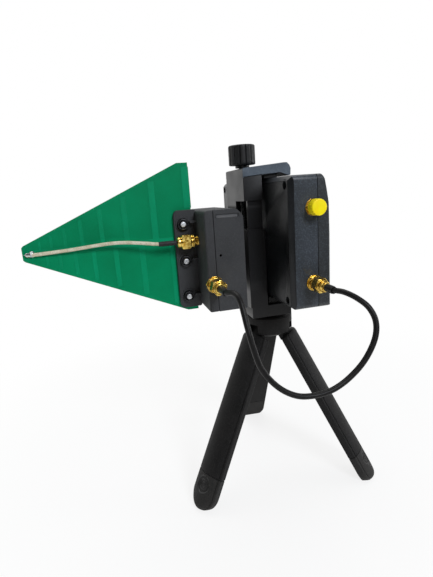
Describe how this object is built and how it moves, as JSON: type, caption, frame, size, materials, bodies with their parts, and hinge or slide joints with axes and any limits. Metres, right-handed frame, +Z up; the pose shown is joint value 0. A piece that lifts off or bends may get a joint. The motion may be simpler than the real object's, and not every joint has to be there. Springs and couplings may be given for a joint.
{
  "type": "log-periodic antenna with radio module and handheld meter on a mini tripod",
  "caption": "Printed log-periodic antenna bolted to a small radio module, cabled to a handheld meter that a screw clamp holds on a folding mini tripod.",
  "frame": {"origin": "on the floor under the middle of the object's box, cables left out", "axes": "+Z up; the antenna board lies in an X-Z plane and its tip points to -X; the coaxial sockets face -Y; the meter's screen faces +X"},
  "size_m": [0.2148, 0.178, 0.2351],
  "materials": {
    "tripod_black": "satin",
    "foot_rubber": "matte",
    "steel": "satin",
    "clamp_black": "satin",
    "pad_rubber": "matte",
    "brass": "satin",
    "gold_plate": "polished",
    "meter_case": "fine texture",
    "window": "clear",
    "display": "gloss",
    "circuit": "satin",
    "battery_foil": "satin",
    "cap_yellow": "satin",
    "screw_black": "satin",
    "button_black": "satin",
    "module_case": "satin",
    "bolt_end": "satin",
    "board_green": "solder mask",
    "copper_masked": "solder mask over copper",
    "solder": "polished",
    "coax_cream": "gloss",
    "shrink_black": "satin",
    "cable_black": "satin"
  },
  "bodies": {
    "stand": {"tripod_hub": "tripod_black", "hub_pad": "pad_rubber", "tripod_screw": "steel", "leg_pins": "steel", "clamp_frame": "clamp_black", "nut_insert": "brass", "base_pad": "pad_rubber", "meter_back_shell": "meter_case", "meter_front_shell": "meter_case", "display_window": "window", "display_panel": "display", "meter_board": "circuit", "battery": "battery_foil", "meter_jack_upper": "gold_plate", "meter_jack_lower": "gold_plate", "meter_jack_nuts": "gold_plate", "case_screws": "screw_black", "module_left_shell": "module_case", "module_right_shell": "module_case", "module_board": "circuit", "module_jack_in": "gold_plate", "module_jack_out": "gold_plate", "module_jack_nuts": "gold_plate", "flange_bolts": "bolt_end", "flange_nuts": "screw_black", "module_bracket": "clamp_black", "bracket_screws": "screw_black", "antenna_board": "board_green", "copper_front": "copper_masked", "copper_back": "copper_masked", "tip_solder": "solder", "feed_coax": "coax_cream", "feed_sleeve": "shrink_black", "feed_plug": "gold_plate", "feed_nut": "gold_plate", "jumper_cable": "cable_black", "jumper_sleeve_module": "shrink_black", "jumper_sleeve_meter": "shrink_black", "jumper_plug_module": "gold_plate", "jumper_plug_meter": "gold_plate", "jumper_nut_module": "gold_plate", "jumper_nut_meter": "gold_plate"},
    "leg_left": {"leg_left": "tripod_black", "foot_left": "foot_rubber"},
    "leg_right": {"leg_right": "tripod_black", "foot_right": "foot_rubber"},
    "leg_rear": {"leg_rear": "tripod_black", "foot_rear": "foot_rubber"},
    "jaw": {"upper_jaw": "clamp_black", "jaw_pad": "pad_rubber"},
    "knob": {"clamp_knob": "clamp_black", "knob_collar": "screw_black", "lead_screw": "steel"},
    "cap": {"dust_cap": "cap_yellow"},
    "power_slider": {"power_switch": "button_black"},
    "jog": {"jog_switch": "button_black"}
  },
  "joints": [
    {"name": "leg_left_fold", "type": "hinge", "parent": "stand", "child": "leg_left", "pos_m": [0.0363, -0.01224, 0.1107], "axis": [0.4226, -0.9063, 0], "range_deg": [0, 29.4]},
    {"name": "leg_right_fold", "type": "hinge", "parent": "stand", "child": "leg_right", "pos_m": [0.05096, -0.01353, 0.1107], "axis": [0.5736, 0.8192, 0], "range_deg": [0, 27.5]},
    {"name": "leg_rear_fold", "type": "hinge", "parent": "stand", "child": "leg_rear", "pos_m": [0.04474, -0.00018, 0.1107], "axis": [-0.9962, 0.0872, 0], "range_deg": [0, 28.7]},
    {"name": "jaw_lift", "type": "slide", "parent": "stand", "child": "jaw", "axis": [0, 0, 1], "range_m": [0, 0.015]},
    {"name": "knob_turn", "type": "hinge", "parent": "jaw", "child": "knob", "pos_m": [0.02995, -0.00865, 0.228], "axis": [0, 0, 1], "range_deg": [-10, 6760]},
    {"name": "cap_pull", "type": "slide", "parent": "stand", "child": "cap", "axis": [0, -1, 0], "range_m": [0, 0.012]},
    {"name": "power_slide", "type": "slide", "parent": "stand", "child": "power_slider", "axis": [0, 1, 0], "range_m": [0, 0.003]},
    {"name": "jog_push", "type": "slide", "parent": "stand", "child": "jog", "axis": [0, 1, 0], "range_m": [-0.002, 0.002], "stiffness_N_per_m": 80}
  ],
  "couplings": [
    {"joint": "knob_turn", "follows": "jaw_lift", "rad_per_m": 7854}
  ]
}
